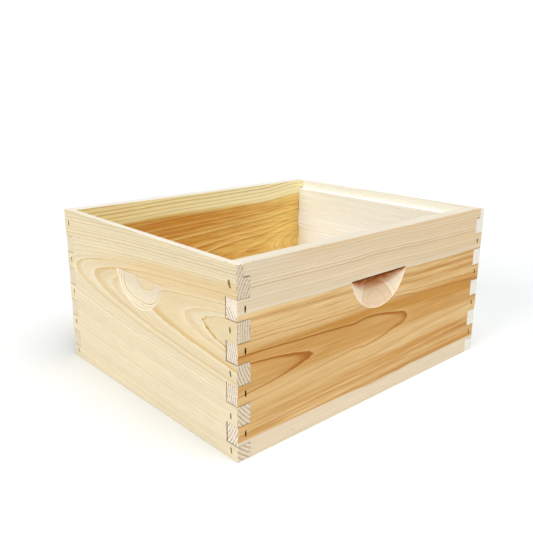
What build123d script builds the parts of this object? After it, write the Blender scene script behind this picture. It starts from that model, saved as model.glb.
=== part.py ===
from build123d import *
import os

# Finished box, in millimetres: end boards run along X, side boards along Y, and it stands on z = 0.
BOX_WIDTH = 413.0
BOX_LENGTH = 505.0
BOX_HEIGHT = 240.0
BOARD = 19.5  # planed thickness of all four boards

# Finger joints at the corners, counted down from the top rim. The end boards hold the top and bottom fingers.
TOP_FINGER = 40.0
FINGER = 25.75
SIDE_FINGERS = 4
FINGER_GAP = 0.5  # open line over each end-board finger
SHOULDER_GAP = 0.6  # open line behind each side-board finger
FINGER_SHORT = 0.4  # side-board fingers stop this far inside the end board's face

# Rabbet that carries the frame lugs. A side-board tongue closes each end, in a notch cut a little deeper.
RABBET_WIDTH = 10.0
RABBET_DEPTH = 16.0
NOTCH_DEPTH = 16.2
TONGUE_DEPTH = 15.2
TONGUE_END_GAP = 0.3

# Half-moon handhold: a dish cut by a round cutter under a flat ceiling. Heights count down from the rim.
HANDHOLD_CEILING = 58.5
HANDHOLD_ARC_CENTRE = 46.5
HANDHOLD_ARC_RADIUS = 58.6
HANDHOLD_DEPTH = 12.7
END_HANDHOLD_SHIFT = 2.5  # to the right of the board's middle, seen from outside
SIDE_HANDHOLD_SHIFT = -4.5

# Narrow-crown staples, crown upright, sunk below the surface and driven square into the next board.
CROWN = 7.0
WIRE_WIDTH = 1.25
WIRE_THICKNESS = 1.0
LEG = 32.0
LEG_POINT = 1.5  # length of the slanted tip
BEND_RADIUS = 0.8
CROWN_SINK = 1.2
SLOT_MARGIN = 0.25  # crushed wood around the crown
STAPLE_INSET = 12.2  # from the corner to the crown

# Hand-driven scatter, from the top staple down: height off the finger's middle, then lean in degrees.
RIGHT_END_DRIFT = (-4.0, 1.0, -0.5, -2.5, 1.0)
RIGHT_END_LEAN = (-20.0, 0.0, -11.0, 0.0, -11.0)
LEFT_END_DRIFT = (0.0, 1.5, 1.5, 2.5, 2.0)
LEFT_END_LEAN = (6.0, -4.0, 0.0, 8.0, -5.0)
SIDE_DRIFT = (0.5, 2.0, 1.0, 1.0)
SIDE_LEAN = (0.0, 2.0, -3.0, 4.0)

# The four faces, a quarter turn apart. Each is drawn as the front face and then turned about Z.
FACES = ("front", "right", "rear", "left")


def block(low, high):
    """A square-edged block between two opposite corners."""
    size = [b - a for a, b in zip(low, high)]
    return Pos(*low) * Box(*size, align=(Align.MIN, Align.MIN, Align.MIN))


def is_end(turn):
    """True for the front and rear faces."""
    return turn % 2 == 0


def face_distance(turn):
    """From the box's middle out to a face."""
    return BOX_LENGTH / 2 if is_end(turn) else BOX_WIDTH / 2


def face_half_width(turn):
    """From the middle of a face to its corner."""
    return face_distance(turn + 1)


def turned(turn, shape):
    """A shape drawn for the front face, carried round to another face."""
    return Rot(0, 0, 90 * turn) * shape


def side_spans():
    """Bottom and top of each side-board finger's socket, from the top one down."""
    tops = [BOX_HEIGHT - TOP_FINGER - 2 * i * FINGER for i in range(SIDE_FINGERS)]
    return [(top - FINGER, top) for top in tops]


def end_spans():
    """Bottom and top of each end-board finger, from the top one down."""
    bottoms = [top for bottom, top in side_spans()] + [0.0]
    tops = [BOX_HEIGHT] + [bottom for bottom, top in side_spans()]
    return list(zip(bottoms, tops))


def handhold(turn):
    """The dish cut out of the face, as the solid that is taken away."""
    shift = END_HANDHOLD_SHIFT if is_end(turn) else SIDE_HANDHOLD_SHIFT
    face = -face_distance(turn)
    radius = (HANDHOLD_ARC_RADIUS**2 + HANDHOLD_DEPTH**2) / (2 * HANDHOLD_DEPTH)
    dish = Pos(shift, face - radius + HANDHOLD_DEPTH, BOX_HEIGHT - HANDHOLD_ARC_CENTRE) * Sphere(radius)
    reach = 2 * HANDHOLD_ARC_RADIUS
    ceiling = BOX_HEIGHT - HANDHOLD_CEILING
    return dish & block((shift - reach, face - BOARD, 0), (shift + reach, face + BOARD, ceiling))


def staple():
    """One bent staple: crown along Z, driven along +Y, with the wood's surface at y = 0."""
    half = CROWN / 2
    inner = half - WIRE_THICKNESS
    crown_back = CROWN_SINK + WIRE_THICKNESS
    tip = CROWN_SINK + LEG
    outline = [(CROWN_SINK, -half), (tip, -half), (tip - LEG_POINT, -inner), (crown_back, -inner),
               (crown_back, inner), (tip - LEG_POINT, inner), (tip, half), (CROWN_SINK, half)]
    profile = Plane.YZ * make_face(Polyline(*outline, close=True))
    bends = [v for v in profile.vertices() if abs(v.Y - CROWN_SINK) < BEND_RADIUS / 2]
    return extrude(fillet(bends, BEND_RADIUS), WIRE_WIDTH / 2, both=True)


def staple_pocket():
    """The wood that a staple pushes away: an open slot over the crown, and a close channel for each leg."""
    half = CROWN / 2
    crown_back = CROWN_SINK + WIRE_THICKNESS
    slot_x = WIRE_WIDTH / 2 + SLOT_MARGIN
    slot_z = half + SLOT_MARGIN
    pocket = block((-slot_x, -CROWN_SINK, -slot_z), (slot_x, crown_back, slot_z))
    for low in (-half, half - WIRE_THICKNESS):
        pocket += block((-WIRE_WIDTH / 2, 0, low), (WIRE_WIDTH / 2, CROWN_SINK + LEG, low + WIRE_THICKNESS))
    return pocket


def staple_places(turn, end):
    """Frames for the staples along one end of a face: end is 1 for its right corner, -1 for its left."""
    spans = end_spans() if is_end(turn) else side_spans()
    if not is_end(turn):
        drifts, leans = SIDE_DRIFT, SIDE_LEAN
    elif end > 0:
        drifts, leans = RIGHT_END_DRIFT, RIGHT_END_LEAN
    else:
        drifts, leans = LEFT_END_DRIFT, LEFT_END_LEAN
    across = end * (face_half_width(turn) - STAPLE_INSET)
    places = []
    for (bottom, top), drift, lean in zip(spans, drifts, leans):
        height = (bottom + top) / 2 + drift
        places.append(Pos(across, -face_distance(turn), height) * Rot(0, lean, 0))
    return places


def staple_group(turn, end):
    """All staples along one end of a face, in place."""
    return [turned(turn, place * staple()) for place in staple_places(turn, end)]


def pockets(turn, end):
    """The pockets of one group of staples, in place."""
    return [turned(turn, place * staple_pocket()) for place in staple_places(turn, end)]


def end_board():
    """A front-face board: sockets at both ends for the side-board fingers, and the rabbet inside on top."""
    outer = -BOX_LENGTH / 2
    inner = outer + BOARD
    rabbet_back = inner - RABBET_WIDTH
    half = BOX_WIDTH / 2
    shoulder = half - BOARD - SHOULDER_GAP
    board = block((-half, outer, 0), (half, inner, BOX_HEIGHT))
    board -= block((-half, rabbet_back, BOX_HEIGHT - RABBET_DEPTH), (half, inner, BOX_HEIGHT))
    for low, high in ((-half, -shoulder), (shoulder, half)):
        board -= block((low, rabbet_back, BOX_HEIGHT - NOTCH_DEPTH), (high, inner, BOX_HEIGHT))
        for bottom, top in side_spans():
            board -= block((low, outer, bottom), (high, inner, top))
    return board


def side_board():
    """A side board drawn in the front face's place: fingers at both ends, and a tongue at each top corner."""
    outer = -BOX_WIDTH / 2
    inner = outer + BOARD
    shoulder = BOX_LENGTH / 2 - BOARD
    finger_end = BOX_LENGTH / 2 - FINGER_SHORT
    tongue_end = shoulder + RABBET_WIDTH - TONGUE_END_GAP
    board = block((-shoulder, outer, 0), (shoulder, inner, BOX_HEIGHT))
    for bottom, top in side_spans():
        board += block((-finger_end, outer, bottom + FINGER_GAP), (finger_end, inner, top))
    return board + block((-tongue_end, outer, BOX_HEIGHT - TONGUE_DEPTH), (tongue_end, inner, BOX_HEIGHT))


def finished_board(turn):
    """A board in place, with its handhold and the pockets of its own and its neighbours' staples."""
    board = turned(turn, (end_board() if is_end(turn) else side_board()) - handhold(turn))
    own = pockets(turn, 1) + pockets(turn, -1)
    neighbours = pockets(turn + 1, -1) + pockets(turn - 1, 1)
    return board - own - neighbours


os.makedirs("parts", exist_ok=True)
for turn, face in enumerate(FACES):
    kind = "end" if is_end(turn) else "side"
    export_step(finished_board(turn), f"parts/{face}_{kind}_board.step")
    for end in (1, -1):
        other = FACES[(turn + end) % len(FACES)]
        corner = f"{face}_{other}" if is_end(turn) else f"{other}_{face}"
        export_step(Compound(staple_group(turn, end)), f"parts/{corner}_{kind}_staples.step")
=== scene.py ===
import math
from functools import partial

import bmesh
import bpy
from mathutils import Matrix, Vector, noise
from mathutils.geometry import delaunay_2d_cdt


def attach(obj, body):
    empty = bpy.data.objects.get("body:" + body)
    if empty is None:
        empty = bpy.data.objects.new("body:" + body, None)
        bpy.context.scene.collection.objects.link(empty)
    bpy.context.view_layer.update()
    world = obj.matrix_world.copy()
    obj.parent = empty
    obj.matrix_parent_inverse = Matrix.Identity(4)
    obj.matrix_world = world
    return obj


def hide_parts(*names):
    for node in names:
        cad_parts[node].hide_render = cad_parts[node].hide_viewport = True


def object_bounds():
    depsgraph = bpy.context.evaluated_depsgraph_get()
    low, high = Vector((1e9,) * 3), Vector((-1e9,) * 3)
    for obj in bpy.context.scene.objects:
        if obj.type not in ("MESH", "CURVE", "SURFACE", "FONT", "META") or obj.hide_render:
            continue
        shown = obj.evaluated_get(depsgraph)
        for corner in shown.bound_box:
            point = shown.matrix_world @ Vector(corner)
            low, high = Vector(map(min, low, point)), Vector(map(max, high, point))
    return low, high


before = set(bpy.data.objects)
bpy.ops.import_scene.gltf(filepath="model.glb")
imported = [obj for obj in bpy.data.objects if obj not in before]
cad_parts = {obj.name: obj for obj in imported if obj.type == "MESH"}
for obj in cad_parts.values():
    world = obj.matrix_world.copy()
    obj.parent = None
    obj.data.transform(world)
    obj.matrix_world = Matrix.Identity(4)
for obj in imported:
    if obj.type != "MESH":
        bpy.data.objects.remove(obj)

cad_low, cad_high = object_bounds()


# Front end board: one flat-sawn plank of fir sapwood, planed on all sides and left bare. Its ends are sawn
# into fingers for the glued corner joints, a rabbet for the frame lugs runs along its inner top edge, and a
# round cutter has milled the half-moon handhold into its face.

# Sizes are in millimetres. A board is drawn as seen from outside, with its depth counted into the wood.
MM = 0.001
BOARD = 19.5
HEIGHT = (cad_high.z - cad_low.z) / MM

# Half the width of the box's end faces, and of its side faces.
BOX_HALF = {"end": (cad_high.x - cad_low.x) / 2 / MM, "side": (cad_high.y - cad_low.y) / 2 / MM}

# Fingers count down from the top rim. The end boards hold the first and the last one at each corner.
TOP_FINGER = 40.0
FINGER = 25.75
SIDE_FINGERS = 4
SOCKET_TOPS = [HEIGHT - TOP_FINGER - 2 * i * FINGER for i in range(SIDE_FINGERS)]

RABBET_WIDTH = 10.0
RABBET_DEPTH = 16.0
RABBET_BACK = BOARD - RABBET_WIDTH
LEDGE = HEIGHT - RABBET_DEPTH

# Edges and faces are divided about this finely, and points closer than the weld become one.
EDGE_STEP = 4.0
FACE_STEP = 14.0
WELD = 0.002

CORNER_ROUND = 0.5
OUTSIDE_TURN = -0.5  # two edges' cross product is -1 at an outside corner, and 0 along a straight edge
ARC_INSET = 1 - math.sqrt(0.5)  # from a square corner to the middle of a quarter circle of radius 1


def closed_outline(right_end):
    """A board's outline, anticlockwise, from its right-hand end given bottom to top."""
    return right_end + [(-x, z) for x, z in reversed(right_end)]


def eased_outline(outline):
    """The outline with its outside corners rubbed round and its long edges divided, as points in order."""
    rounded = []
    count = len(outline)
    for i, corner in enumerate(outline):
        here = Vector(corner)
        back = (Vector(outline[i - 1]) - here).normalized()
        on = (Vector(outline[(i + 1) % count]) - here).normalized()
        if back.cross(on) < OUTSIDE_TURN:
            arc_middle = (back + on) * CORNER_ROUND * ARC_INSET
            rounded += [here + back * CORNER_ROUND, here + arc_middle, here + on * CORNER_ROUND]
        else:
            rounded.append(here)
    divided = []
    for here, after in zip(rounded, rounded[1:] + rounded[:1]):
        parts = max(1, math.ceil((after - here).length / EDGE_STEP))
        divided += [here.lerp(after, k / parts) for k in range(parts)]
    return divided


def inward_ways(points):
    """For each point of a closed outline, the move that shifts both of its edges inwards by one."""
    ways = []
    for before, here, after in zip(points[-1:] + points[:-1], points, points[1:] + points[:1]):
        first = (here - before).normalized().orthogonal()
        second = (after - here).normalized().orthogonal()
        ways.append((first + second) / (1 + first.dot(second)))
    return ways


# Bruises are a few millimetres long and rare: most of the noise stays under the threshold.
BRUISE_DEPTH = 1.6
BRUISE_LENGTH = 4.0
BRUISE_RARITY = 0.42
BRUISE_SEED = 7.3

# A light hand sanding eases every arris by this much, unevenly.
EASE = 0.34
EASE_SWING = 0.16
EASE_LENGTH = 11.0


def bruise(point, seed):
    """How deep an edge is bruised at a point: nothing along most of it."""
    place = Vector((point.x / BRUISE_LENGTH, point.y / BRUISE_LENGTH, seed + BRUISE_SEED))
    return BRUISE_DEPTH * max(0.0, noise.noise(place) - BRUISE_RARITY)


def rubbed(point, seed):
    """How far an edge is eased at a point, with the odd bruise."""
    place = Vector((point.x / EASE_LENGTH, point.y / EASE_LENGTH, seed))
    return EASE + EASE_SWING * noise.noise(place) + bruise(point, seed)


def edge_rows(points, near, far, near_wear=None, far_wear=None):
    """Rows of points along a board's edge between two depths, with the arris eased where there is wear."""
    ways = inward_ways(points)
    quarter_round = ((1, 0), (ARC_INSET, ARC_INSET), (0, 1))
    rows = []
    if near_wear:
        for inset, depth in quarter_round:
            rows.append([(p + w * e * inset, near + e * depth) for p, w, e in zip(points, ways, near_wear)])
    else:
        rows.append([(p, near) for p in points])
    if far_wear:
        for inset, depth in reversed(quarter_round):
            rows.append([(p + w * e * inset, far - e * depth) for p, w, e in zip(points, ways, far_wear)])
    else:
        rows.append([(p, far) for p in points])
    return [[Vector((p.x, depth, p.y)) for p, depth in row] for row in rows]


def skin(mesh, rows, closed=True):
    """Quads between rows of equally many points. Returns one list of faces for each pair of rows."""
    made = [[mesh.verts.new(p) for p in row] for row in rows]
    first = 0 if closed else 1
    strips = []
    for row, following in zip(made, made[1:]):
        strips.append([mesh.faces.new((row[i - 1], row[i], following[i], following[i - 1]))
                       for i in range(first, len(row))])
    return strips


def is_within(x, z, loop):
    """True for a point inside a closed loop."""
    inside = False
    for a, b in zip(loop, loop[1:] + loop[:1]):
        if (a.z > z) != (b.z > z) and x < a.x + (z - a.z) * (b.x - a.x) / (b.z - a.z):
            inside = not inside
    return inside


def planed_face(mesh, outline, depth, holes=()):
    """A flat face at one depth, in well-shaped triangles, with holes left open."""
    points, edges = [], []
    for loop in [outline, *holes]:
        first = len(points)
        points += [Vector((p.x, p.z)) for p in loop]
        edges += [(first + i, first + (i + 1) % len(loop)) for i in range(len(loop))]
    low_x, low_z = min(p.x for p in points), min(p.y for p in points)
    columns = int((max(p.x for p in points) - low_x) / FACE_STEP)
    levels = int((max(p.y for p in points) - low_z) / FACE_STEP)
    for i in range(1, columns):
        for k in range(1, levels):
            stagger = 0.5 * (k % 2)
            points.append(Vector((low_x + (i + stagger) * FACE_STEP, low_z + k * FACE_STEP)))
    only_inside = 1
    merge_distance = 1e-5
    found, _, triangles, _, _, _ = delaunay_2d_cdt(points, edges, [], only_inside, merge_distance)
    made = [mesh.verts.new((p.x, depth, p.y)) for p in found]
    for triangle in triangles:
        middle = sum((found[i] for i in triangle), Vector((0, 0))) / 3
        if not any(is_within(middle.x, middle.y, hole) for hole in holes):
            mesh.faces.new([made[i] for i in triangle])


# Half-moon handhold: a dish cut by a round cutter, under a flat ceiling whose front edge is eased.
HANDHOLD_CEILING = HEIGHT - 58.5
HANDHOLD_CENTRE = HEIGHT - 46.5
HANDHOLD_RADIUS = 58.6
HANDHOLD_DEPTH = 12.7
CUTTER_RADIUS = (HANDHOLD_RADIUS**2 + HANDHOLD_DEPTH**2) / (2 * HANDHOLD_DEPTH)
CEILING_EASE = 0.35
EASE_TO_DEPTH = 3  # where the dish runs out, the ease is a third of its depth
EASED_CEILING = ((0, 1), (0.3, 0.3), (1, 0))  # shares of the ease, into the wood and up the face
DISH_ROWS = 30
DISH_COLUMNS = 56


def handhold(mesh, shift):
    """The milled dish and its ceiling. Returns its faces and the loop where it leaves the board's face."""
    first_angle = math.asin((HANDHOLD_CENTRE - HANDHOLD_CEILING) / HANDHOLD_RADIUS)
    rows = []
    for k in range(DISH_ROWS + 1):
        angle = first_angle + (math.pi / 2 - first_angle) * k / DISH_ROWS
        drop = HANDHOLD_RADIUS * math.sin(angle)
        reach = HANDHOLD_RADIUS * math.cos(angle)
        row = []
        for i in range(DISH_COLUMNS + 1):
            side = reach * math.sin(math.pi / 2 * (2 * i / DISH_COLUMNS - 1))
            sink = math.sqrt(CUTTER_RADIUS**2 - side**2 - drop**2) - CUTTER_RADIUS + HANDHOLD_DEPTH
            row.append(Vector((shift + side, max(0.0, sink), HANDHOLD_CENTRE - drop)))
        rows.append(row)
    top = rows[0]
    eases = [min(CEILING_EASE, p.y / EASE_TO_DEPTH) for p in top]
    ceiling = []
    for inwards, upwards in EASED_CEILING:
        ceiling.append([Vector((p.x, e * inwards, HANDHOLD_CEILING + e * upwards))
                        for p, e in zip(top, eases)])
    ceiling.append(top)
    faces = sum(skin(mesh, rows, closed=False) + skin(mesh, ceiling, closed=False), [])
    arc = [row[0] for row in rows] + [row[-1] for row in reversed(rows[:-1])]
    return faces, arc + ceiling[0][-2:0:-1]


# The slot that a staple's crown was driven into has crushed, ragged lips. Its rows from the surface down:
# depth, spread beyond the crown, and further spread where fibres tore and closed over a crown that went in
# too deep.
CROWN_HALF = 3.5
WIRE_HALF = 0.65
SLOT_FLOOR = 2.3
SLOT_LIPS = ((0.0, 0.6, 1.0), (0.05, 0.35, 0.7), (0.5, 0.15, 0.3), (SLOT_FLOOR, 0.1, 0.0))
SLOT_POINTS = 24
SQUARENESS = 0.6  # a power below 1 makes the oval squarer
RAG = 0.7
TORN_RAG = 0.6
RAG_SCALE = 1.7
TORN_FILL = 0.65


def staple_slot(mesh, across, height, lean, torn, seed):
    """One slot. Returns its faces and the loop where it leaves the board's face."""
    turn = Matrix.Rotation(math.radians(-lean), 2)
    floor_depth = SLOT_FLOOR * (1 - TORN_FILL * torn)
    rows = []
    for lip_depth, spread, torn_spread in SLOT_LIPS:
        depth = min(lip_depth, floor_depth)
        row = []
        for i in range(SLOT_POINTS):
            angle = 2 * math.pi * i / SLOT_POINTS
            way = Vector((math.cos(angle), math.sin(angle)))
            ragged = noise.noise(Vector((way.x * RAG_SCALE, way.y * RAG_SCALE, seed + depth)))
            rag = 1 + (RAG + TORN_RAG * torn) * ragged
            squared = Vector((WIRE_HALF * math.copysign(abs(way.x)**SQUARENESS, way.x),
                              CROWN_HALF * math.copysign(abs(way.y)**SQUARENESS, way.y)))
            p = turn @ (squared + way * (spread + torn_spread * torn) * rag)
            row.append(Vector((across + p.x, depth, height + p.y)))
        rows.append(row)
    strips = skin(mesh, rows)
    strips.append([mesh.faces.new([mesh.verts.new(p) for p in rows[-1]])])
    return sum(strips, []), rows[0]


# Each part of a board wears in its own way: the outer arris, the inner one, the rabbet's lip and each slot.
INNER_SEED = 17.9
LIP_SEED = 31.7
SLOT_SEED = 3.1
RIM = 1.0  # an edge within this of the top or the bottom belongs to the rim


def board_edges(mesh, whole, rabbeted, seed):
    """The board's sawn edges, inner face and rabbet. Returns the outer face's outline, and each band of edge
    faces with the points that it follows, the outer band last."""
    outer_wear = [rubbed(p, seed) for p in whole]
    if not rabbeted:
        rows = edge_rows(whole, 0.0, BOARD, outer_wear, [rubbed(p, seed + INNER_SEED) for p in whole])
        planed_face(mesh, rows[-1], BOARD)
        return rows[0], [(skin(mesh, rows), whole)]

    # Over the ledge the board is only as thick as the rabbet leaves it, and under it at full thickness.
    lip_wear = [rubbed(p, seed + LIP_SEED) if p.y > HEIGHT - RIM else 0.0 for p in whole]
    rows = edge_rows(whole, 0.0, RABBET_BACK, outer_wear, lip_wear)
    above = [i for i, p in enumerate(whole) if p.y > LEDGE + WELD]
    under = whole[above[-1] + 1:] + whole[:above[0]]
    parts = math.ceil((under[-1] - under[0]).length / EDGE_STEP)
    ledge_line = [under[-1].lerp(under[0], k / parts) for k in range(1, parts)]
    lower = under + ledge_line
    lower_rows = edge_rows(lower, RABBET_BACK, BOARD, None, [rubbed(p, seed + INNER_SEED) for p in lower])
    back_wall = [rows[-1][i] for i in range(above[0] - 1, above[-1] + 2)]
    back_wall += [Vector((p.x, RABBET_BACK, p.y)) for p in reversed(ledge_line)]
    planed_face(mesh, back_wall, RABBET_BACK)
    lower_band = skin(mesh, lower_rows)
    planed_face(mesh, lower_rows[-1], BOARD)
    return rows[0], [(lower_band, lower), (skin(mesh, rows), whole)]


SHOULDER_REACH = 1.2  # a joint's faces start this far behind the shoulder
END_REACH = 0.8  # and stop this far short of the corner


def in_joint(points, half, shoulder_too):
    """For each point of an outline, True where the edge that leads to it lies inside a corner joint."""
    inside = []
    for before, here in zip(points[-1:] + points[:-1], points):
        middle, run = (before + here) / 2, before - here
        across_joint = half - BOARD - SHOULDER_REACH < abs(middle.x) < half - END_REACH
        in_corner = across_joint and RIM < middle.y < HEIGHT - RIM
        inside.append(in_corner and (shoulder_too or abs(run.x) > abs(run.y)))
    return inside


# The mesh keeps, for the material to read, what the tools did to the wood and where shade is painted. Staples
# crush wood most, bruises less. Staple slots and the gaps in sawn joints are also painted dark: painted
# shade.
# Shade is painted under the handhold's ceiling, further down where the dish is deep. The cutter frayed the
# rim.
JOINT_GAP_SHADE = 0.6
BRUISE_SHADE = 0.5
BRUISE_DARKENING = 2.0
CEILING_SHADE_REACH = 2.5
CEILING_SHADE_LEAST = 4.0
FRAYED_DEPTH = 0.6
SHARP_TURN = math.radians(50)


def new_object(name, data):
    """Puts a mesh, a lamp or a camera into the scene."""
    made = bpy.data.objects.new(name, data)
    bpy.context.scene.collection.objects.link(made)
    return made


def board(name, turn, outline, rabbeted, shift, slots, seed):
    """A whole board as one closed mesh, drawn in the front face's place and turned by quarters to its own."""
    mesh = bmesh.new()
    milled = mesh.faces.layers.float.new("milled")
    crushed = mesh.faces.layers.float.new("crushed")
    ceiling_shade_mask = mesh.verts.layers.float.new("ceiling_shade_mask")
    frayed = mesh.verts.layers.float.new("frayed")
    sunk = mesh.verts.layers.float.new("sunk")
    face_kind, depth_kind = ("end", "side") if turn % 2 == 0 else ("side", "end")
    dish, rim = handhold(mesh, shift)
    for face in dish:
        face[milled] = 1.0
        for vert in face.verts:
            drop = max(0.0, HANDHOLD_CEILING - vert.co.z)
            # Painted shade under the ceiling: full at it, and reaching further down where the dish is deep.
            vert[ceiling_shade_mask] = max(0.0, 1 - drop / (CEILING_SHADE_REACH * vert.co.y + CEILING_SHADE_LEAST))
            vert[frayed] = max(0.0, 1 - vert.co.y / FRAYED_DEPTH) if drop > WELD else 0.0
            vert[sunk] = vert.co.y
    holes = [rim]
    for k, (across, height, lean, torn) in enumerate(slots):
        slot, loop = staple_slot(mesh, across, height, lean, torn, seed + SLOT_SEED * k)
        holes.append(loop)
        # Slot faces are painted fully dark: crushed fibres, and painted shade deep in the slot.
        for face in slot:
            face[crushed] = 1.0

    whole = eased_outline(outline)
    outer_face, bands = board_edges(mesh, whole, rabbeted, seed)
    planed_face(mesh, outer_face, 0.0, holes)
    for strips, points in bands:
        # Faces inside the corner joints are painted dark: painted shade in the joints' gaps.
        sawn = in_joint(points, BOX_HALF[face_kind], rabbeted) * len(strips)
        for face, in_shaded_gap in zip(sum(strips, []), sawn):
            face[crushed] = JOINT_GAP_SHADE if in_shaded_gap else 0.0
    outer_strips = bands[-1][0]
    for face, point in zip(outer_strips[0] + outer_strips[1], whole + whole):
        face[crushed] = max(face[crushed], min(BRUISE_SHADE, BRUISE_DARKENING * bruise(point, seed)))

    bmesh.ops.remove_doubles(mesh, verts=mesh.verts, dist=WELD)
    bmesh.ops.dissolve_degenerate(mesh, edges=mesh.edges, dist=WELD)
    bmesh.ops.delete(mesh, geom=[v for v in mesh.verts if not v.link_faces], context="VERTS")
    bmesh.ops.recalc_face_normals(mesh, faces=mesh.faces)
    for edge in mesh.edges:
        sides = edge.link_faces
        edge.smooth = edge.calc_face_angle(0.0) < SHARP_TURN and sides[0][milled] == sides[-1][milled]
    for face in mesh.faces:
        face.smooth = True
    outwards = Matrix.Translation((0, -BOX_HALF[depth_kind], 0))
    place = Matrix.Rotation(math.radians(90 * turn), 4, "Z") @ outwards
    bmesh.ops.transform(mesh, matrix=Matrix.Scale(MM, 4) @ place, verts=mesh.verts)
    data = bpy.data.meshes.new(name)
    mesh.to_mesh(data)
    mesh.free()
    piece = new_object(name, data)
    shading = piece.modifiers.new("flat_faces", "WEIGHTED_NORMAL")
    shading.keep_sharp = True
    return piece


def end_outline(shy_ends, shoulder_gaps):
    """An end board's outline, from fingers with ends a little shy and roomy sockets, bottom to top."""
    half = BOX_HALF["end"]
    edge = [(half - shy_ends[0], 0.0)]
    for top, gap, below, above in zip(reversed(SOCKET_TOPS), shoulder_gaps, shy_ends, shy_ends[1:]):
        shoulder = half - BOARD - gap
        edge += [(half - below, top - FINGER), (shoulder, top - FINGER), (shoulder, top), (half - above, top)]
    edge += [(half - shy_ends[-1], LEDGE), (half - shy_ends[-1], HEIGHT)]
    return closed_outline(edge)


STAPLE_INSET = 12.2
END_FINGER_MIDDLES = [HEIGHT - TOP_FINGER / 2] + [top - 1.5 * FINGER for top in SOCKET_TOPS[:-1]]
END_FINGER_MIDDLES.append((SOCKET_TOPS[-1] - FINGER) / 2)


def staple_row(face, end, middles, drifts, leans, torn):
    """The slots along one end of a face, top down: across, height, lean, and how badly the wood tore."""
    across = end * (BOX_HALF[face] - STAPLE_INSET)
    return [(across, m + d, lean, t) for m, d, lean, t in zip(middles, drifts, leans, torn)]


END_SLOTS = staple_row("end", 1, END_FINGER_MIDDLES, drifts=(-4, 1, -0.5, -2.5, 1),
                       leans=(-20, 0, -11, 0, -11), torn=(0.9, 0, 0, 0, 0))
END_SLOTS += staple_row("end", -1, END_FINGER_MIDDLES, drifts=(0, 1.5, 1.5, 2.5, 2),
                        leans=(6, -4, 0, 8, -5), torn=(0.3, 0, 0, 0, 0))
END_HANDHOLD_SHIFT = 2.5

front_outline = end_outline(shy_ends=(0.1, 0.3, 0.05, 0.25, 0.0), shoulder_gaps=(1.0, 0.5, 0.55, 0.4))
front = board("front_board", turn=0, outline=front_outline, rabbeted=True, shift=END_HANDHOLD_SHIFT,
              slots=END_SLOTS, seed=1.0)
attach(front, "root")
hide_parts("front_end_board")


def srgb(code):
    """An sRGB hex colour as linear RGBA."""
    shares = [int(code[i:i + 2], 16) / 255 for i in (1, 3, 5)]
    return [c / 12.92 if c <= 0.04045 else ((c + 0.055) / 1.055)**2.4 for c in shares] + [1.0]


def add_node(tree, kind, inputs=(), out=0, **settings):
    """Adds one shader node with its settings and links, and gives back one of its outputs."""
    made = tree.nodes.new("ShaderNode" + kind)
    for name, value in settings.items():
        setattr(made, name, value)
    for key, value in inputs.items() if isinstance(inputs, dict) else enumerate(inputs):
        if isinstance(value, bpy.types.NodeSocket):
            tree.links.new(value, made.inputs[key])
        else:
            made.inputs[key].default_value = value
    return made.outputs[out] if made.outputs else None


def fresh_nodes(owner):
    """Clears a material's or the world's nodes, and gives back the function that adds new ones."""
    owner.use_nodes = True
    owner.node_tree.nodes.clear()
    return partial(add_node, owner.node_tree)


# Patterns drawn out along the grain: length and width in millimetres, and detail. Fibres and pores are drawn
# about five times too coarse, so that they show.
GRAIN_PATTERNS = {"bend": (170, 45, 1.5), "jag": (13, 4, 2), "streak": (220, 5, 4), "thread": (110, 2, 2),
                  "cloud": (260, 22, 2), "fibre": (60, 1.5, 3), "pore": (3, 1.4, 2)}
SOFT_NOISE = (0.3, 0.7)  # the range that most of a noise pattern keeps to
SHARP_NOISE = (0.35, 0.65)

# Heights from below the pith to above it, over which a log's pairs of values blend.
LOPSIDED_BLEND = (-8.0, 8.0)
PITH_BLEND = (-15.0, 15.0)
ZONE = (-100, 60)


def ring_places(node, log, drawn, trunk):
    """A point's place in the log: along the pith, above it, its moved place and its distance from the pith.
    The trunk's slow bends, and jagged steps where rings cross the fibres, move the rings sideways. Rings may
    also lean with depth, be pressed together on one side of the pith and swell along the trunk."""
    along = node("SeparateXYZ", [trunk])
    sunk = node("Attribute", out="Fac", attribute_name="sunk")
    above = node("Math", [sunk, -log["lean"], along.node.outputs["Z"]], operation="MULTIPLY_ADD")
    moved = node("CombineXYZ", [along, along.node.outputs["Y"], above])
    for use in ("bend", "jag"):
        sway = node("VectorMath", [drawn[use].node.outputs["Color"], (0.5, 0.5, 0.5)], operation="SUBTRACT")
        moved = node("VectorMath", [sway, (0, log[use], log[use]), moved], operation="MULTIPLY_ADD")
    across = node("CombineXYZ", [0.0, 1.0, node("MapRange", [above, *LOPSIDED_BLEND, *log["lopsided"]])])
    from_pith = node("VectorMath", [moved, across], operation="MULTIPLY")
    radius = node("VectorMath", [from_pith], out="Value", operation="LENGTH")
    for start, stop, rise in log["swells"]:
        swell = node("MapRange", [along, start, stop, 0.0, rise], interpolation_type="SMOOTHSTEP")
        radius = node("Math", [radius, swell], operation="ADD")
    return along, above, moved, radius


UNEVEN_YEARS = 4.0  # years drift this far from even spacing
UNEVEN_REACH = 14.0  # over about this distance
WEAKEST_YEAR = 0.25
FAINT = 0.12  # strength of the fine rings near the pith


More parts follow.
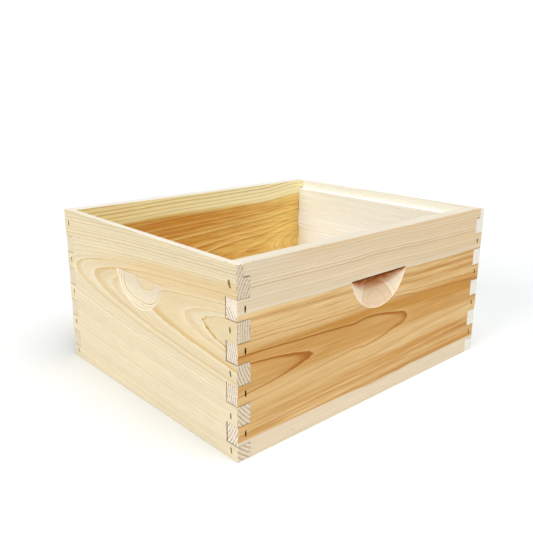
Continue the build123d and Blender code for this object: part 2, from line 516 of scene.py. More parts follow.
def fine_years(node, log, seed, above, radius):
    """Shares of late wood and of whitish early wood. Each year starts whitish and darkens slowly to late wood
    that stops sharply. Years differ in width and strength, and near the pith only the strong ones show."""
    slow = node("Math", [radius, 1 / UNEVEN_REACH], operation="MULTIPLY")
    uneven = node("TexNoise", {"W": slow, "Scale": 1.0, "Detail": 1.0}, noise_dimensions="1D")
    years = node("Math", [uneven, UNEVEN_YEARS, radius], operation="MULTIPLY_ADD")
    years = node("Math", [years, log["ring"]], operation="DIVIDE")
    season = node("Math", [years], operation="FRACT")
    late = node("Math", [season, log["late sharpness"]], operation="POWER")
    rest_of_year = node("Math", [1.0, season], operation="SUBTRACT")
    whitish = node("Math", [rest_of_year, log["early sharpness"]], operation="POWER")
    count = node("Math", [node("Math", [years], operation="FLOOR"), seed], operation="ADD")
    vigour = node("TexWhiteNoise", {"W": count}, noise_dimensions="1D")
    dark_years = node("MapRange", [vigour, 0.0, 1.0, WEAKEST_YEAR, 1.0])
    pale_years = node("Math", [node("Math", [1.0, vigour], operation="SUBTRACT"), 2.0], operation="POWER")
    clear = node("MapRange", [radius, *log["clear from"], FAINT, 1.0])
    for share in (clear, node("MapRange", [above, *ZONE, *log["late wood"]]), dark_years):
        late = node("Math", [late, share], operation="MULTIPLY")
    for share in (clear, node("MapRange", [above, *ZONE, *log["whitish wood"]]), pale_years):
        whitish = node("Math", [whitish, share], operation="MULTIPLY")
    return late, whitish


DARKEST_PART = 0.4  # outer part of a strong year that is fully dark
PALE_PART = 0.8  # width of the pale line outside it, as a part of the year
WIDEST_PALE = 1.0


def strong_year(node, shown, measured, distance, width, thickness, strengths):
    """Adds one strong year to the shares shown so far: its dark late wood, and the pale line outside it."""
    within = node("Math", [distance, measured], operation="SUBTRACT")
    within = node("Math", [within, thickness], operation="DIVIDE")
    dark = node("MapRange", [within, width, DARKEST_PART * width])
    dark = node("Math", [dark, node("Math", [within, 0.0], operation="GREATER_THAN")], operation="MULTIPLY")
    pale = node("MapRange", [within, -min(WIDEST_PALE, PALE_PART * width), 0.0])
    pale = node("Math", [pale, node("Math", [within, 0.0], operation="LESS_THAN")], operation="MULTIPLY")
    added = []
    for so_far, line, strength in zip(shown, (dark, pale), strengths):
        line = node("Math", [line, strength], operation="MULTIPLY")
        added.append(node("Math", [so_far, line], operation="MAXIMUM"))
    return added


def strong_years(node, log, along, above, radius):
    """Shares of the strong years that draw the flames on the planed face, dark and pale. Below the pith they
    may come up only along the plank."""
    shown = (0.0, 0.0)
    start, full, least = log["lower arm"]
    lower_arm = node("MapRange", [along, start, full, least, 1.0])
    arm_width = node("MapRange", [above, *PITH_BLEND, *log["arm width"]])
    for distance, width, above_pith, below_pith in log["strong rings"]:
        below = node("Math", [lower_arm, below_pith], operation="MULTIPLY")
        strength = node("MapRange", [above, *PITH_BLEND, below, above_pith])
        pale_strength = node("Math", [strength, log["halo"]], operation="MULTIPLY")
        shown = strong_year(node, shown, radius, distance, width, arm_width, (strength, pale_strength))
    return shown


def handhold_years(node, log, tilted):
    """Shares of the strong years that the handhold cuts, dark and pale. The face shows others."""
    shown = (0.0, 0.0)
    for distance, width, *strengths in log["dish rings"]:
        shown = strong_year(node, shown, tilted, distance, width, 1.0, strengths)
    return shown


SOFT_BAND = 4.0
ABOVE, BELOW = "GREATER_THAN", "LESS_THAN"  # the sides of the pith, where its height is 0


def heart_and_tan(node, log, drawn, along, above, radius):
    """Shares of heartwood, which reaches out to a ragged edge that tapers along the trunk, and of soft tan
    bands, which follow the rings on one side of the pith and come up along the plank."""
    heart_radius, heart_fade, heart_taper, ragged = log["heart"]
    taper = node("MapRange", [above, *PITH_BLEND, *heart_taper])
    edge = node("Math", [radius, node("Math", [along, taper], operation="MULTIPLY")], operation="SUBTRACT")
    rag = node("MapRange", [drawn["streak"], 0.0, 1.0, -ragged / 2, ragged / 2])
    edge = node("Math", [rag, edge], operation="ADD")
    in_heart = node("MapRange", [edge, heart_radius + heart_fade, heart_radius - heart_fade])
    tan = 0.0
    for inner, outer, start, full, share, side in log["tan bands"]:
        band = node("MapRange", [along, start, full, 0.0, share])
        for limits in ((inner, inner + SOFT_BAND), (outer, outer - SOFT_BAND)):
            band = node("Math", [band, node("MapRange", [edge, *limits])], operation="MULTIPLY")
        on_side = node("Math", [above, 0.0], operation=side)
        tan = node("Math", [tan, node("Math", [band, on_side], operation="MULTIPLY")], operation="MAXIMUM")
    return in_heart, tan


# Heartwood swings between its two colours in streaks, in threads and along the rings, and less near the pith.
STREAK_SWING = 0.22
THREAD_SWING = 0.28
BAND_SWING = 0.18
HEART_BAND = 7.5
CALM_PITH = 0.4

# Painted shade in the handhold: where the painted shadow line under the ceiling starts and is full, and how
# mottled it all is.
SHADOW_LINE_SPAN = (0.7, 0.87)
SHADOW_LINE_MOTTLE = (0.6, 1.2)
CEILING_SHADE_MOTTLE = (0.75, 1.2)

# How squarely a face must look along the grain, up or down (for the painted rim highlight), or outwards (for
# the outer face's painted shade tone), to count as fully so.
END_FACING = (0.6, 0.9)
RIM_HIGHLIGHT_FACING = (0.6, 0.95)
RIM_HIGHLIGHT_SHARE = 0.8
OUTER_SHADE_FACING = (0.5, 0.9)

# End-grain rings are drawn coarser than the years on the face, so that they show, and broken up by pores.
END_RING = 5.6
END_FLATNESS = 1.6
END_SHARPNESS = 2.0
PORE_MOTTLE = (0.2, 1.45)

# One small fleck of resin in each cell, as a part of the cell's size, and how much of its colour shows.
FLECK_CELL = (45, 14, 14)
FLECK_SIZE = 0.03
FLECK_SHARE = 0.6
# How much of the crushed and painted-shade colour shows where the mesh asks for it fully.
CRUSH_AND_SHADE_SHARE = 0.95

# Slow clouds and fine fibres tone the wood. Fibres and pores stand up by parts of a millimetre.
CLOUD_TONE = (0.945, 1.005)
FIBRE_TONE = (0.955, 1.045)
FIBRE_RELIEF = 0.06
PORE_RELIEF = 0.15
RELIEF_STRENGTH = 0.6
FIR_ROUGHNESS = (0.5, 0.62)
FIR_IOR = 1.53
FIR_SPECULAR = 0.1


def sawn_fir(name, log, colours, seed):
    """Bare planed fir, worked out as a plank cut from a log: yearly rings round a slanting pith give flames
    where the face runs along them, straight lines towards the edges and arcs on the end grain. The eye sees
    whitish early wood, thin amber late wood with a sharp outer edge, and fine fibre streaks."""
    made = bpy.data.materials.new(name)
    node = fresh_nodes(made)
    paint = {part: srgb(code) for part, code in colours.items()}
    pith_start, pith_end = (Vector(point) for point in log["pith"])
    grain = (pith_end - pith_start).normalized()
    place = node("TexCoord", out="Object")
    trunk = node("Mapping", {"Vector": place, "Location": pith_start * MM, "Scale": (MM, MM, MM),
                             "Rotation": grain.to_track_quat("X", "Z").to_euler()}, vector_type="TEXTURE")
    drawn = {}
    for use, (length, width, detail) in GRAIN_PATTERNS.items():
        stretched = node("Mapping", {"Vector": trunk, "Location": [seed + length] * 3,
                                     "Scale": (1 / length, 1 / width, 1 / width)})
        drawn[use] = node("TexNoise", {"Vector": stretched, "Scale": 1.0, "Detail": detail})
    along, above, moved, radius = ring_places(node, log, drawn, trunk)
    late, whitish = fine_years(node, log, seed, above, radius)
    strong, halo = strong_years(node, log, along, above, radius)
    in_heart, tan = heart_and_tan(node, log, drawn, along, above, radius)

    # Sapwood is even, and its rings have colours of their own. In a Mix of colours, input 0 is the share, 6
    # and 7 are the colours and output 2 is the result.
    in_sap = node("MapRange", [above, *ZONE, *log["sap rings"]])
    sap_whitish = node("Math", [whitish, in_sap], operation="MULTIPLY")
    sap_late = node("Math", [late, in_sap], operation="MULTIPLY")
    sap = paint["sap"]
    for share, colour in ((tan, "sap tan"), (sap_whitish, "sap pale"), (halo, "sap pale"),
                          (sap_late, "sap late"), (strong, "sap strong")):
        sap = node("Mix", {0: share, 6: sap, 7: paint[colour]}, out=2, data_type="RGBA")

    # Heartwood is deeper in some bands across the face, along the rings and in streaks.
    band_place = node("Math", [radius, 1 / HEART_BAND, seed], operation="MULTIPLY_ADD")
    ring_band = node("TexNoise", {"W": band_place, "Scale": 1.0, "Detail": 2.0}, noise_dimensions="1D")
    deep = node("Math", [tan, log["deep"]], operation="ADD")
    for start, stop, change in log["deep steps"]:
        deep = node("Math", [deep, node("MapRange", [above, start, stop, 0.0, change])], operation="ADD")
    streaky = node("MapRange", [radius, *log["clear from"], CALM_PITH, 1.0])
    for pattern, most in ((drawn["streak"], STREAK_SWING), (drawn["thread"], THREAD_SWING),
                          (ring_band, BAND_SWING)):
        swing = node("MapRange", [pattern, *SOFT_NOISE, -most, most])
        deep = node("Math", [swing, streaky, deep], operation="MULTIPLY_ADD")
    pale = node("Math", [whitish, halo], operation="MAXIMUM")
    pale = node("Math", [pale, log["heart pale"]], operation="MULTIPLY")
    heart = paint["heart"]
    for share, colour in ((deep, "heart deep"), (pale, "heart pale"), (late, "heart late"),
                          (strong, "heart late")):
        heart = node("Mix", {0: share, 6: heart, 7: paint[colour]}, out=2, data_type="RGBA")
    planed = node("Mix", {0: in_heart, 6: sap, 7: heart}, out=2, data_type="RGBA")

    # Lit and shaded copies: where a plank's colours are painted light for its lit inner face, its outer face
    # gets a darker painted shade tone.
    facing = node("NewGeometry", out="Normal")
    if "outside" in log:
        outward, tone = log["outside"]
        outer = node("VectorMath", [facing, outward], out="Value", operation="DOT_PRODUCT")
        outer = node("MapRange", [outer, *OUTER_SHADE_FACING])
        planed = node("Mix", {0: outer, 6: planed, 7: srgb(tone)}, out=2, data_type="RGBA",
                      blend_type="MULTIPLY")

    # The cutter leaves the handhold paler than the planed face, with rings that may tilt along it. Under the
    # ceiling, shade is painted in (light, where a board's colour for it is pale), with a painted shadow line
    # that is darker across late wood. The cutter also frayed the rim.
    cut = node("Attribute", out="Fac", attribute_name="milled")
    dish_middle, dish_tilt = log["dish tilt"]
    tilted = node("Math", [along, dish_middle], operation="SUBTRACT")
    tilted = node("Math", [tilted, dish_tilt, radius], operation="MULTIPLY_ADD")
    dish_dark, dish_pale = handhold_years(node, log, tilted)
    rim_wood = node("MapRange", [tilted, *log["dish core"]])
    dish = paint["milled"]
    for share, colour in ((rim_wood, "milled pale"), (dish_pale, "sap pale"), (dish_dark, "milled late")):
        dish = node("Mix", {0: share, 6: dish, 7: paint[colour]}, out=2, data_type="RGBA")
    # Painted shade under the handhold's ceiling, from the mesh, and a darker painted shadow line along it.
    painted_ceiling_shade = node("Math", [node("Attribute", out="Fac", attribute_name="ceiling_shade_mask"), cut], operation="MULTIPLY")
    shadow_line = node("MapRange", [painted_ceiling_shade, *SHADOW_LINE_SPAN])
    mottle = node("MapRange", [drawn["jag"], *SOFT_NOISE, *SHADOW_LINE_MOTTLE])
    shadow_line = node("Math", [shadow_line, mottle], operation="MULTIPLY")
    shadow_line_late = node("Math", [shadow_line, dish_dark], operation="MULTIPLY")
    for share in (log["ceiling shade strength"], node("MapRange", [drawn["jag"], *SOFT_NOISE, *CEILING_SHADE_MOTTLE])):
        painted_ceiling_shade = node("Math", [painted_ceiling_shade, share], operation="MULTIPLY")
    fuzz = node("Math", [node("Attribute", out="Fac", attribute_name="frayed"), cut], operation="MULTIPLY")

    # End grain is greyer, and its rings stand out as grey-brown lines. Edges that face up or down are painted
    # paler: a painted highlight for the rims lit from above.
    on_end = node("VectorMath", [facing, grain], out="Value", operation="DOT_PRODUCT")
    on_end = node("MapRange", [node("Math", [on_end], operation="ABSOLUTE"), *END_FACING])
    flatter = node("VectorMath", [moved, (0, END_FLATNESS, 1)], operation="MULTIPLY")
    end_radius = node("VectorMath", [flatter], out="Value", operation="LENGTH")
    end_late = node("Math", [node("Math", [end_radius, END_RING], operation="DIVIDE")], operation="FRACT")
    end_late = node("Math", [end_late, END_SHARPNESS], operation="POWER")
    for share in (node("MapRange", [drawn["pore"], *SHARP_NOISE, *PORE_MOTTLE]),
                  node("MapRange", [in_heart, 0.0, 1.0, *log["end rings"]])):
        end_late = node("Math", [end_late, share], operation="MULTIPLY")
    end_grain = node("Mix", {0: end_late, 6: paint["end"], 7: paint["end late"]}, out=2, data_type="RGBA")
    # Painted highlight: faces that look up or down take the pale edge colour.
    painted_rim_highlight = node("Math", [node("SeparateXYZ", [facing], out="Z")], operation="ABSOLUTE")
    painted_rim_highlight = node("MapRange", [painted_rim_highlight, *RIM_HIGHLIGHT_FACING, 0.0, RIM_HIGHLIGHT_SHARE])

    # A few dark flecks of resin lie in the wood, and staples and knocks have crushed its fibres brown. The
    # same dark colour is painted into staple slots and joint gaps as painted shade.
    fleck_place = node("Mapping", {"Vector": trunk, "Location": [seed] * 3,
                                   "Scale": [1 / size for size in FLECK_CELL]})
    fleck = node("TexVoronoi", {"Vector": fleck_place, "Scale": 1.0})
    fleck = node("Math", [fleck, FLECK_SIZE], operation="LESS_THAN")
    fleck = node("Math", [fleck, FLECK_SHARE], operation="MULTIPLY")
    crush = node("Attribute", out="Fac", attribute_name="crushed")
    crush = node("Math", [crush, CRUSH_AND_SHADE_SHARE], operation="MULTIPLY")
    wood = planed
    for share, colour in ((painted_rim_highlight, paint["edge"]), (cut, dish), (painted_ceiling_shade, paint["ceiling shade colour"]),
                          (shadow_line, paint["shadow_line"]), (shadow_line_late, paint["crushed"]), (fuzz, paint["sap pale"]),
                          (fleck, paint["crushed"]), (on_end, end_grain), (crush, paint["crushed"])):
        wood = node("Mix", {0: share, 6: wood, 7: colour}, out=2, data_type="RGBA")

    # Fibres streak the colour, the relief and the gloss, and slow clouds run along the plank.
    for pattern, tones in ((drawn["cloud"], CLOUD_TONE), (drawn["fibre"], FIBRE_TONE)):
        tone = node("MapRange", [pattern, *SOFT_NOISE, *tones])
        wood = node("VectorMath", {0: wood, "Scale": tone}, operation="SCALE")
    relief = node("Math", [on_end, drawn["pore"]], operation="MULTIPLY")
    relief = node("Math", [relief, PORE_RELIEF], operation="MULTIPLY")
    relief = node("Math", [drawn["fibre"], FIBRE_RELIEF, relief], operation="MULTIPLY_ADD")
    bump = node("Bump", {"Height": relief, "Strength": RELIEF_STRENGTH, "Distance": MM})
    gloss = node("MapRange", [drawn["fibre"], *SOFT_NOISE, *FIR_ROUGHNESS])
    shader = node("BsdfPrincipled", {"Base Color": wood, "Roughness": gloss, "Normal": bump, "IOR": FIR_IOR,
                                     "Specular IOR Level": FIR_SPECULAR})
    node("OutputMaterial", {"Surface": shader})
    return made


# A log's entries are in millimetres: distances from its pith, heights above it, and places along it from the
# plank's first end. Pairs hold for below and above the pith, unless they say otherwise. An even log has
# these, and each plank's log adds its own.
EVEN_LOG = {
    "swells": [],  # start, stop and rise of each place where the rings swell outwards
    "lean": 0.0,  # how far rings shift for each millimetre of the handhold's depth
    "lopsided": (1.0, 1.0),  # how closely the rings are pressed
    "sap rings": (1.0, 1.0),  # strength of fine rings in sapwood
    "halo": 0.6,  # strength of the pale line outside a strong ring
    "heart pale": 0.3,  # strength of pale lines in heartwood
    "arm width": (1.0, 1.0),  # width of strong rings
    "lower arm": (0, 1, 1.0),  # strong rings below the pith: start, full, and strength before the start
    "deep steps": [],  # start, stop and change of each height where heartwood gets deeper
    "dish tilt": (0, 0.0),  # where the handhold is, and the slope of its rings
}

FRONT_FIR = sawn_fir("planed_fir_front", EVEN_LOG | {
    "pith": [(-206.5, -172.5, 158), (206.5, -199.5, 158)],  # its two ends, in the box's frame
    "bend": 2.4,  # slow sway of the rings
    "jag": 1.0,  # small steps in the rings
    "lean": 0.8, "lopsided": (0.88, 1.12),
    "ring": 3.4,  # one year's growth
    "late sharpness": 2.5, "early sharpness": 6.0,
    "clear from": (76, 86),  # distances where fine rings stop being faint, and where they are clear
    "late wood": (0.1, 0.85),  # strengths of the fine rings
    "whitish wood": (1.6, 0.5),
    "arm width": (1.6, 0.7),
    "strong rings": [  # distance, width, strength above the pith and strength below it
        (57.2, 0.3, 0.8, 0.8), (59.6, 1.2, 0.3, 0.25), (65.6, 1.8, 0.42, 0.5), (69.0, 0.8, 0.2, 0.15),
        (70.9, 1.0, 0.25, 0.2), (72.5, 0.6, 0.2, 0.1), (74.3, 2.0, 0.5, 0.36), (78.45, 1.3, 0.5, 0.3)],
    "tan bands": [  # inner and outer distance, where it starts and is full along the plank, strength, side
        (64, 87, 60, 240, 0.42, ABOVE), (58, 67, 200, 240, 0.3, ABOVE), (58, 67, 200, 240, 0.3, BELOW)],
    "heart": (57.2, 0.3, (0.0, 0.0), 0.0),  # distance, fade, taper along the plank, and raggedness
    "deep": 0.5,  # share of the heartwood's deeper colour
    "dish core": (57.3, 57.7),  # distances where the handhold turns from its core's colour to its rim's
    "dish tilt": (209, 0.05),
    "dish rings": [  # distance, width, strength, and strength of the pale line outside it
        (57.9, 0.5, 0.6, 0.6), (64.8, 0.7, 0.9, 1.0), (66.5, 0.5, 0.7, 1.0), (68.6, 0.6, 0.9, 1.0)],
    "ceiling shade strength": 0.6,  # strength of the colour painted under the handhold's ceiling; this board's pale one is painted light
    "end rings": (0.8, 0.8),  # strength on end grain, in sapwood and in heartwood
}, {
    "sap": "#dccdae", "sap pale": "#f5ebd7", "sap tan": "#d4af6b",
    "sap late": "#b4985a", "sap strong": "#c69b40",
    "heart": "#d9c7a2", "heart deep": "#d6c39b", "heart pale": "#e6d8ba", "heart late": "#b5801f",
    "edge": "#dcd4c6", "end": "#e6d3b7", "end late": "#694c33",
    "milled": "#dcc89c", "milled pale": "#ddd1b9", "milled late": "#bd9f5c",
    # Under the handhold's ceiling: a pale painted light, and a thin painted shadow line.
    "ceiling shade colour": "#f4e8d2", "shadow_line": "#d2a656", "crushed": "#8c6d3e",
}, seed=2.0)
front.data.materials.append(FRONT_FIR)


# Rear end board: sawn and milled like the front one, and turned half round so that the two rabbets face each
# other. It is the palest plank, nearly all whitish sapwood, glued and stapled into the same joints. Its
# colours are painted paler still, as painted light for its lit inner face, and its outer face gets a darker
# tone as painted shade.

rear_outline = end_outline(shy_ends=(0.0, 0.2, 0.3, 0.1, 0.1), shoulder_gaps=(0.6, 0.5, 0.7, 0.5))
rear = board("rear_board", turn=2, outline=rear_outline, rabbeted=True, shift=END_HANDHOLD_SHIFT,
             slots=END_SLOTS, seed=41.0)
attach(rear, "root")
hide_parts("rear_end_board")

REAR_FIR = sawn_fir("planed_fir_rear", EVEN_LOG | {
    "pith": [(206.5, 182.5, 96), (-206.5, 176.5, 102)],
    "bend": 2.4, "jag": 0.6,
    "ring": 2.9,
    "late sharpness": 4.0, "early sharpness": 3.0,
    "clear from": (60, 75),
    "late wood": (0.6, 0.6), "whitish wood": (0.6, 0.6),
    "strong rings": [(92.0, 0.9, 0.25, 0.4), (71.0, 0.9, 0.35, 0.5)],
    "tan bands": [(48, 74, 365, 405, 0.8, ABOVE), (96, 180, -50, 0, 0.12, ABOVE)],
    "heart": (30.0, 1.0, (0.0, 0.0), 0.0),
    "deep": 0.5,
    "dish core": (60.0, 61.0),
    "dish rings": [
        (88.0, 0.6, 0.4, 0.3), (84.6, 0.6, 0.5, 0.4), (80.9, 0.6, 0.3, 0.2), (77.0, 0.6, 0.5, 0.4)],
    "ceiling shade strength": 0.1, "end rings": (0.8, 0.8),
    # A darker, warmer tone on the outer face, as painted shade; the inner face keeps the paler colours.
    "outside": ((0, 1, 0), "#f6e3c9"),  # which way the outer face looks, and its tone
}, {
    # The sapwood colours are painted paler than the wood, as painted light for the lit inner face.
    "sap": "#f2f1e9", "sap pale": "#f8f6ef", "sap tan": "#efd896",
    "sap late": "#b9b088", "sap strong": "#c0a868",
    "heart": "#e0c691", "heart deep": "#d6b67b", "heart pale": "#ead3a4", "heart late": "#c0924e",
    "edge": "#efebe4", "end": "#f1eadf", "end late": "#d3c5b0",
    "milled": "#e6d9bb", "milled pale": "#f0e7d4", "milled late": "#b59a68",
    # Under the handhold's ceiling: painted shade, and a faint painted shadow line.
    "ceiling shade colour": "#c9a066", "shadow_line": "#d8c39a", "crushed": "#6e4a12",
}, seed=17.0)
rear.data.materials.append(REAR_FIR)


# Right side board: a flat-sawn fir plank with tan heartwood between two strips of pale sapwood. Its fingers
# fill the end boards' sockets, stopping a little short, and a tongue at each top corner closes the rabbet.

FINGER_SHORT = 0.4
FINGER_END = BOX_HALF["side"] - FINGER_SHORT
SIDE_SHOULDER = BOX_HALF["side"] - BOARD
TONGUE_END_GAP = 0.3
TONGUE_END = SIDE_SHOULDER + RABBET_WIDTH - TONGUE_END_GAP
TONGUE_DEPTH = 15.2
TONGUE_FOOT = HEIGHT - TONGUE_DEPTH


def side_outline(shy_ends, gap_under, gap_over):
    """A side board's outline, from fingers with ends a little shy and thin gaps, bottom to top."""
    edge = [(SIDE_SHOULDER, 0.0)]
    for socket_top, shy in zip(reversed(SOCKET_TOPS), shy_ends):
        top, bottom = socket_top - gap_over, socket_top - FINGER + gap_under
        tip = FINGER_END - shy
        edge += [(SIDE_SHOULDER, bottom), (tip, bottom), (tip, top), (SIDE_SHOULDER, top)]
    edge += [(SIDE_SHOULDER, TONGUE_FOOT), (TONGUE_END, TONGUE_FOOT), (TONGUE_END, HEIGHT)]
    return closed_outline(edge)


SIDE_FINGER_MIDDLES = [top - FINGER / 2 for top in SOCKET_TOPS]
SIDE_SLOTS = []
for end in (1, -1):
    SIDE_SLOTS += staple_row("side", end, SIDE_FINGER_MIDDLES, drifts=(0.5, 2, 1, 1), leans=(0, 2, -3, 4),
                             torn=(0, 0, 0, 0))
SIDE_HANDHOLD_SHIFT = -4.5

right_outline = side_outline(shy_ends=(0.15, 0.0, 0.3, 0.1), gap_under=0.45, gap_over=0.05)
right = board("right_board", turn=1, outline=right_outline, rabbeted=False, shift=SIDE_HANDHOLD_SHIFT,
              slots=SIDE_SLOTS, seed=73.0)
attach(right, "root")
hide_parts("right_side_board")

RIGHT_FIR = sawn_fir("planed_fir_right", EVEN_LOG | {
    "pith": [(149.3, -252.5, 102), (138.2, 252.5, 107)],
    "bend": 1.6, "jag": 0.3,
    "swells": [(20, 130, 0.75), (196, 226, -1.2), (234, 300, 1.2), (298, 336, 1.6)],
    "lean": 1.1,
    "ring": 4.2,
    "late sharpness": 5.0, "early sharpness": 4.0,
    "clear from": (68, 84),
    "late wood": (0.9, 0.5), "whitish wood": (1.8, 0.6),
    "sap rings": (0.1, 0.75),
    "halo": 1.0, "heart pale": 0.2,
    "lower arm": (60, 280, 0.4),
    "strong rings": [
        (60.6, 0.8, 0.95, 1.5), (65.4, 1.1, 0.95, 0.55), (73.4, 0.8, 0.6, 0.2), (76.6, 0.7, 0.6, 0.2),
        (84.0, 1.0, 0.35, 0.2), (92.0, 2.0, 0.4, 0.3), (123.6, 2.4, 0.45, 0.0), (127.0, 1.4, 0.6, 0.0),
        (130.6, 1.4, 0.3, 0.0), (134.2, 1.5, 0.35, 0.0)],
    "tan bands": [
        (91, 99, 120, 350, 0.45, BELOW), (91, 99, 200, 450, 0.25, ABOVE), (76, 92, 220, 330, 0.4, ABOVE),
        (69, 82, 220, 320, 0.35, BELOW), (63, 71, -20, 0, 0.35, ABOVE), (99, 170, -150, 450, 0.4, ABOVE),
        (138, 175, 30, 120, 0.4, ABOVE)],
    "heart": (96.5, 1.0, (0.026, 0.0075), 6.0),
    "deep": 0.52,
    "deep steps": [(-47, -40, -0.25), (-19, -11, 0.5), (28, 36, -0.55)],
    "dish core": (74.0, 75.0),
    "dish rings": [
        (67.5, 0.9, 0.14, 0.1), (70.8, 0.9, 0.16, 0.1), (74.5, 1.0, 0.26, 0.0), (77.6, 0.8, 0.25, 0.2),
        (79.0, 0.7, 0.2, 0.2)],
    "ceiling shade strength": 1.4, "end rings": (0.4, 1.0),
}, {
    "sap": "#e1ceb2", "sap pale": "#f6e8d4", "sap tan": "#d5ab69",
    "sap late": "#b09468", "sap strong": "#b99c70",
    "heart": "#e4c28b", "heart deep": "#c28b40", "heart pale": "#ebcb96", "heart late": "#a35f14",
    "edge": "#d3cbbb", "end": "#ecdfcd", "end late": "#7d6650",
    "milled": "#dec19d", "milled pale": "#ead5b9", "milled late": "#b5794a",
    # Under the handhold's ceiling: dark painted shade, and a darker painted shadow line.
    "ceiling shade colour": "#bd6610", "shadow_line": "#4e1d05", "crushed": "#341404",
}, seed=29.0)
right.data.materials.append(RIGHT_FIR)


# Left side board: the right one's pair, turned half round and joined the same way. It comes from a yellower
# fir plank that is heartwood nearly to its edges, with broad wavy grain. Its heartwood is painted deeper
# towards the box's front end as painted shade, and its outer face gets a darker tone as painted shade.

left_outline = side_outline(shy_ends=(0.0, 0.2, 0.1, 0.25), gap_under=0.05, gap_over=0.45)
left = board("left_board", turn=3, outline=left_outline, rabbeted=False, shift=SIDE_HANDHOLD_SHIFT,
             slots=SIDE_SLOTS, seed=97.0)
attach(left, "root")
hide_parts("left_side_board")

LEFT_FIR = sawn_fir("planed_fir_left", EVEN_LOG | {
    "pith": [(-148.0, 252.5, 118), (-125.0, -252.5, 118)],
    "bend": 4.0, "jag": 0.8,
    "swells": [(20, 120, 6.0)],
    "ring": 6.0,
    "late sharpness": 4.5, "early sharpness": 5.0,
    "clear from": (36, 50),
    "late wood": (0.5, 0.9), "whitish wood": (1.2, 1.6),
    "halo": 4.0, "heart pale": 0.7,
    "strong rings": [(42.5, 1.2, 0.16, 0.16), (45.5, 1.2, 0.14, 0.14), (48.5, 1.2, 0.16, 0.16)],
    # The first two bands are painted shade: they deepen the heartwood towards the box's front end, darker
    # near and paler far.
    "tan bands": [(-10, 106, 40, 300, 0.85, ABOVE), (-10, 106, 40, 300, 0.85, BELOW),
                  (104, 220, 150, 420, 0.4, ABOVE)],
    "heart": (104.5, 3.5, (0.022, 0.022), 6.0),
    "deep": 0.1,
    "deep steps": [(65, 69, 0.2), (83, 87, -0.2)],
    "dish core": (78.0, 79.0),
    "dish rings": [(78.5, 1.0, 0.4, 0.2), (74.0, 0.9, 0.3, 0.2)],
    "ceiling shade strength": 1.3, "end rings": (0.8, 1.0),
    # A darker tone on the outer face, as painted shade; the inner face keeps the lighter colours.
    "outside": ((-1, 0, 0), "#f1ebf9"),
}, {
    "sap": "#fff0ba", "sap pale": "#fffbe0", "sap tan": "#fdd272",
    "sap late": "#b07808", "sap strong": "#ba8210",
    "heart": "#f0cd76", "heart deep": "#cf8c38", "heart pale": "#f4cf85", "heart late": "#a85a10",
    "edge": "#cfcdce", "end": "#ddcfb9", "end late": "#c3ad8c",
    "milled": "#e4c39e", "milled pale": "#e6d0b6", "milled late": "#b5794a",
    # Under the handhold's ceiling: dark painted shade, and a darker painted shadow line.
    "ceiling shade colour": "#bd6610", "shadow_line": "#4e1d05", "crushed": "#341404",
}, seed=53.0)
left.data.materials.append(LEFT_FIR)


# Staples: narrow-crown staples bent from flat galvanised steel wire. They are shot in below the surface
# through every finger, so that only their crowns show at the bottom of their slots, painted dark brown as
# painted shade.

WIRE_MOTTLE_SIZE = 1.2
WIRE_ROUGHNESS = (0.5, 0.75)
WIRE_EDGE = 0.12


def staple_wire():
    """Galvanised steel wire painted dark brown, as painted shade for crowns deep in their slots, and mottled
    in colour and gloss.
    """
    made = bpy.data.materials.new("staple_wire_painted_shade")
    node = fresh_nodes(made)
    place = node("TexCoord", out="Object")
    wire_mottle = node("TexNoise", {"Vector": place, "Scale": 1 / (WIRE_MOTTLE_SIZE * MM), "Detail": 3.0})
    share = node("MapRange", [wire_mottle, *SHARP_NOISE])
    colour = node("Mix", {0: share, 6: srgb("#2b0f04"), 7: srgb("#4c2304")}, out=2, data_type="RGBA")
    gloss = node("MapRange", [wire_mottle, *SHARP_NOISE, *WIRE_ROUGHNESS])
    shader = node("BsdfPrincipled", {"Base Color": colour, "Roughness": gloss, "Metallic": 1.0})
    node("OutputMaterial", {"Surface": shader})
    return made


WIRE = staple_wire()
for node_name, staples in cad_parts.items():
    if node_name.endswith("staples"):
        staples.data.materials.clear()
        staples.data.materials.append(WIRE)
        soft = staples.modifiers.new("wire_edges", "BEVEL")
        soft.width = WIRE_EDGE * MM
        soft.segments = 2
        soft.limit_method = "ANGLE"


# Floor: a broad sheet of matt white paper, as studios lay under small goods. The box stands on it with a
# hair's gap, so that the two surfaces never coincide.

FLOOR_HALF = 30.0  # metres, so that its far edge is lost in the white room
FLOOR_DROP = 0.2

floor_mesh = bmesh.new()
bmesh.ops.create_grid(floor_mesh, x_segments=2, y_segments=2, size=FLOOR_HALF)
floor_data = bpy.data.meshes.new("floor")
floor_mesh.to_mesh(floor_data)
floor_mesh.free()
floor = new_object("floor", floor_data)
floor.location.z = cad_low.z - FLOOR_DROP * MM

# Matt paper: the eye sees an even white with no shine.
paper = bpy.data.materials.new("white_paper_sweep")
node = fresh_nodes(paper)
node("OutputMaterial", {"Surface": node("BsdfPrincipled", {"Base Color": srgb("#dddcd9"), "Roughness": 0.9})})
floor_data.materials.append(paper)


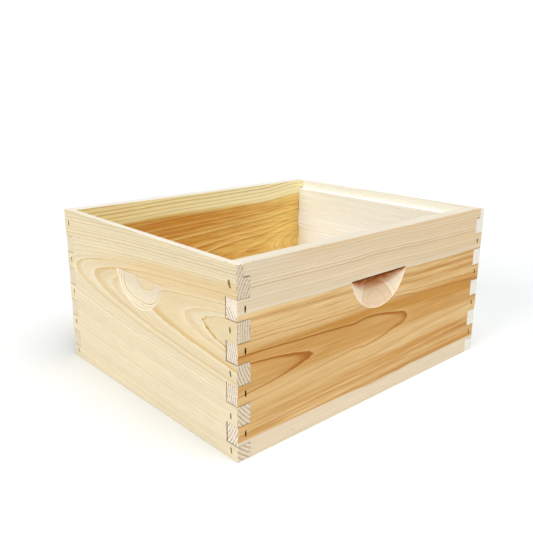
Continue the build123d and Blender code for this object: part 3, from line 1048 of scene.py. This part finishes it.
# Studio light: a broad, nearly overhead light and a lower one square to the front board, both far off and
# large enough for soft shadows. The room round them looks white and adds only a faint light of its own.

ROOM_LIGHT = 0.2
ROOM_SEEN = 1.05


def far_light(name, come_from, spread, strength, tint):
    """A light so far off that it falls evenly on the whole floor. Strength 1, square on, lights white paper
    fully."""
    lamp = bpy.data.lights.new(name, "SUN")
    lamp.angle = math.radians(spread)
    lamp.energy = strength * math.pi
    lamp.color = srgb(tint)[:3]
    light = new_object(name, lamp)
    light.rotation_euler = Vector(come_from).to_track_quat("Z", "Y").to_euler()


far_light("top_light", come_from=(0.36, 0.0, 1.0), spread=60, strength=1.2, tint="#f6fbff")
far_light("front_light", come_from=(0.0, -1.0, 0.42), spread=30, strength=0.53, tint="#fffdf8")

room = bpy.data.worlds.new("white_room")
node = fresh_nodes(room)
seen = node("LightPath", out="Is Camera Ray")
glow = node("MapRange", {"Value": seen, "To Min": ROOM_LIGHT, "To Max": ROOM_SEEN})
node("OutputWorld", {"Surface": node("Background", {"Color": srgb("#ffffff"), "Strength": glow})})
bpy.context.scene.world = room
bpy.context.scene.view_settings.view_transform = "Standard"


# Camera: it stands where the photograph was taken, a little above the box and turned towards its near corner.
# Its place, angle and lens follow from the box's straight edges.

CAMERA_PLACE = Vector((710.48, -664.92, 426.91))
AZIMUTH, ELEVATION, ROLL = (math.radians(angle) for angle in (47.883, 16.125, -0.318))
LENS = 43.034
SENSOR = 36.0

forward = Vector((-math.sin(AZIMUTH) * math.cos(ELEVATION), math.cos(AZIMUTH) * math.cos(ELEVATION),
                  -math.sin(ELEVATION)))
level = Vector((math.cos(AZIMUTH), math.sin(AZIMUTH), 0))
sideways = level * math.cos(ROLL) + forward.cross(level) * math.sin(ROLL)
upward = -forward.cross(sideways)
lens = bpy.data.cameras.new("camera")
lens.lens = LENS
lens.sensor_width = SENSOR
camera = new_object("camera", lens)
aim = Matrix((sideways, upward, -forward)).transposed().to_4x4()
camera.matrix_world = Matrix.Translation(CAMERA_PLACE * MM) @ aim
bpy.context.scene.camera = camera
